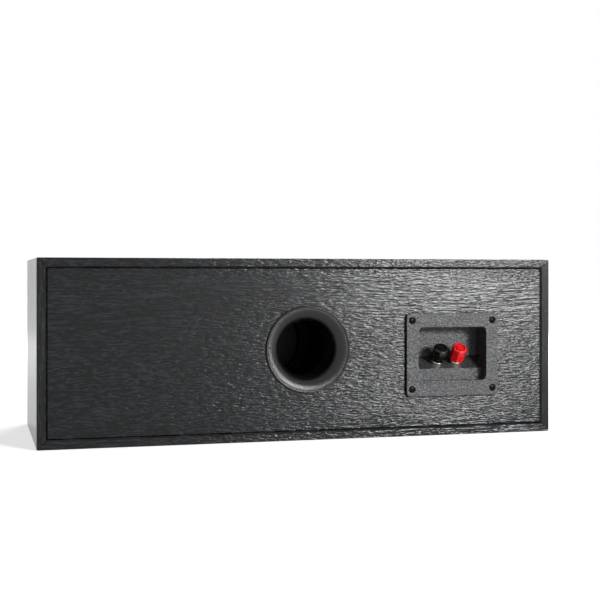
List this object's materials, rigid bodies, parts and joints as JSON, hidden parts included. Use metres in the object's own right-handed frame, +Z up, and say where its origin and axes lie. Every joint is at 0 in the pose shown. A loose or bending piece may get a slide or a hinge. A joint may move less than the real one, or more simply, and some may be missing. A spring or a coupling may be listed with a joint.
{
  "type": "center channel speaker",
  "caption": "Wide low center channel speaker in black woodgrain vinyl, with twin woofers, a dome tweeter, pull-off grille, flared rear port and a recessed cup of screw-down binding posts.",
  "frame": {"origin": "middle of the overall box, on the surface that the cabinet stands on", "axes": "+X along the cabinet's width, +Y towards the rear with the port and terminals, -Y towards the grille, +Z up"},
  "size_m": [0.4826, 0.1994, 0.1651],
  "materials": {
    "black_ash_vinyl": "satin black woodgrain vinyl on board",
    "baffle_vinyl": "matt black vinyl on board",
    "port_plastic": "satin black moulded plastic",
    "cup_plastic": "fine-grained black moulded plastic",
    "foam": "black foam",
    "black_screw": "black oxide",
    "plated_metal": "bright plating over brass",
    "black_cap": "semi-gloss black",
    "red_cap": "semi-gloss red",
    "basket_paint": "satin black paint",
    "surround_rubber": "matt black rubber",
    "cone_poly": "matt black polymer",
    "spider_cloth": "resin-stiffened cloth",
    "coil_copper": "copper winding",
    "plate_steel": "black zinc plated",
    "ferrite": "dark sintered ferrite",
    "faceplate_plastic": "satin black moulded plastic",
    "dome_cloth": "coated cloth",
    "grille_board": "black painted board",
    "grille_fabric": "black knitted grille cloth",
    "peg_plastic": "black moulded plastic",
    "socket_rubber": "black rubber",
    "board_phenolic": "brown circuit board",
    "standoff_plastic": "natural nylon",
    "capacitor_sleeve": "shrink sleeve",
    "resistor_cement": "white cement",
    "wire_insulation": "black insulation",
    "wadding": "dark grey polyester wadding"
  },
  "bodies": {
    "cabinet": {"top_panel": "black_ash_vinyl", "bottom_panel": "black_ash_vinyl", "left_side_panel": "black_ash_vinyl", "right_side_panel": "black_ash_vinyl", "back_panel": "black_ash_vinyl", "front_baffle": "baffle_vinyl", "port_flare": "port_plastic", "port_tube": "port_plastic", "terminal_cup": "cup_plastic", "terminal_gasket": "foam", "terminal_screws": "black_screw", "woofer_screws": "black_screw", "tweeter_screws": "black_screw", "binding_post_studs": "plated_metal", "post_nuts": "plated_metal", "solder_lugs": "plated_metal", "left_woofer_basket": "basket_paint", "right_woofer_basket": "basket_paint", "left_woofer_surround": "surround_rubber", "right_woofer_surround": "surround_rubber", "left_woofer_spider": "spider_cloth", "right_woofer_spider": "spider_cloth", "tweeter_voice_coil": "coil_copper", "woofer_inductor": "coil_copper", "tweeter_inductor": "coil_copper", "left_woofer_top_plate": "plate_steel", "right_woofer_top_plate": "plate_steel", "left_woofer_yoke": "plate_steel", "right_woofer_yoke": "plate_steel", "tweeter_top_plate": "plate_steel", "tweeter_yoke": "plate_steel", "left_woofer_magnet": "ferrite", "right_woofer_magnet": "ferrite", "tweeter_magnet": "ferrite", "tweeter_faceplate": "faceplate_plastic", "tweeter_dome": "dome_cloth", "grille_sockets": "socket_rubber", "crossover_board": "board_phenolic", "crossover_standoffs": "standoff_plastic", "tweeter_capacitor": "capacitor_sleeve", "tweeter_resistor": "resistor_cement", "terminal_wires": "wire_insulation", "woofer_wires": "wire_insulation", "tweeter_wires": "wire_insulation", "damping_pads": "wadding"},
    "grille": {"grille_frame": "grille_board", "grille_cloth": "grille_fabric", "grille_pegs": "peg_plastic"},
    "left_cone": {"left_woofer_cone": "cone_poly", "left_woofer_dust_cap": "cone_poly", "left_woofer_voice_coil": "coil_copper"},
    "right_cone": {"right_woofer_cone": "cone_poly", "right_woofer_dust_cap": "cone_poly", "right_woofer_voice_coil": "coil_copper"},
    "black_clamp": {"black_clamp_washer": "plated_metal"},
    "black_cap": {"black_post_cap": "black_cap"},
    "red_clamp": {"red_clamp_washer": "plated_metal"},
    "red_cap": {"red_post_cap": "red_cap"}
  },
  "joints": [
    {"name": "grille_pull", "type": "slide", "parent": "cabinet", "child": "grille", "axis": [0, -1, 0], "range_m": [0, 0.05]},
    {"name": "left_cone_travel", "type": "slide", "parent": "cabinet", "child": "left_cone", "axis": [0, -1, 0], "range_m": [-0.004, 0.004], "stiffness_N_per_m": 1500, "deforming": ["left_woofer_surround", "left_woofer_spider"]},
    {"name": "right_cone_travel", "type": "slide", "parent": "cabinet", "child": "right_cone", "axis": [0, -1, 0], "range_m": [-0.004, 0.004], "stiffness_N_per_m": 1500, "deforming": ["right_woofer_surround", "right_woofer_spider"]},
    {"name": "black_clamp_travel", "type": "slide", "parent": "cabinet", "child": "black_clamp", "axis": [0, 0.6428, 0.766], "range_m": [0, 0.0048]},
    {"name": "black_cap_turn", "type": "hinge", "parent": "black_clamp", "child": "black_cap", "pos_m": [-0.13098, 0.08596, 0.07108], "axis": [0, 0.6428, 0.766], "range_deg": [0, 2161]},
    {"name": "red_clamp_travel", "type": "slide", "parent": "cabinet", "child": "red_clamp", "axis": [0, 0.6428, 0.766], "range_m": [0, 0.0048]},
    {"name": "red_cap_turn", "type": "hinge", "parent": "red_clamp", "child": "red_cap", "pos_m": [-0.15002, 0.08596, 0.07108], "axis": [0, 0.6428, 0.766], "range_deg": [0, 2161]}
  ],
  "couplings": [
    {"joint": "black_cap_turn", "follows": "black_clamp_travel", "rad_per_m": 7854},
    {"joint": "red_cap_turn", "follows": "red_clamp_travel", "rad_per_m": 7854}
  ]
}
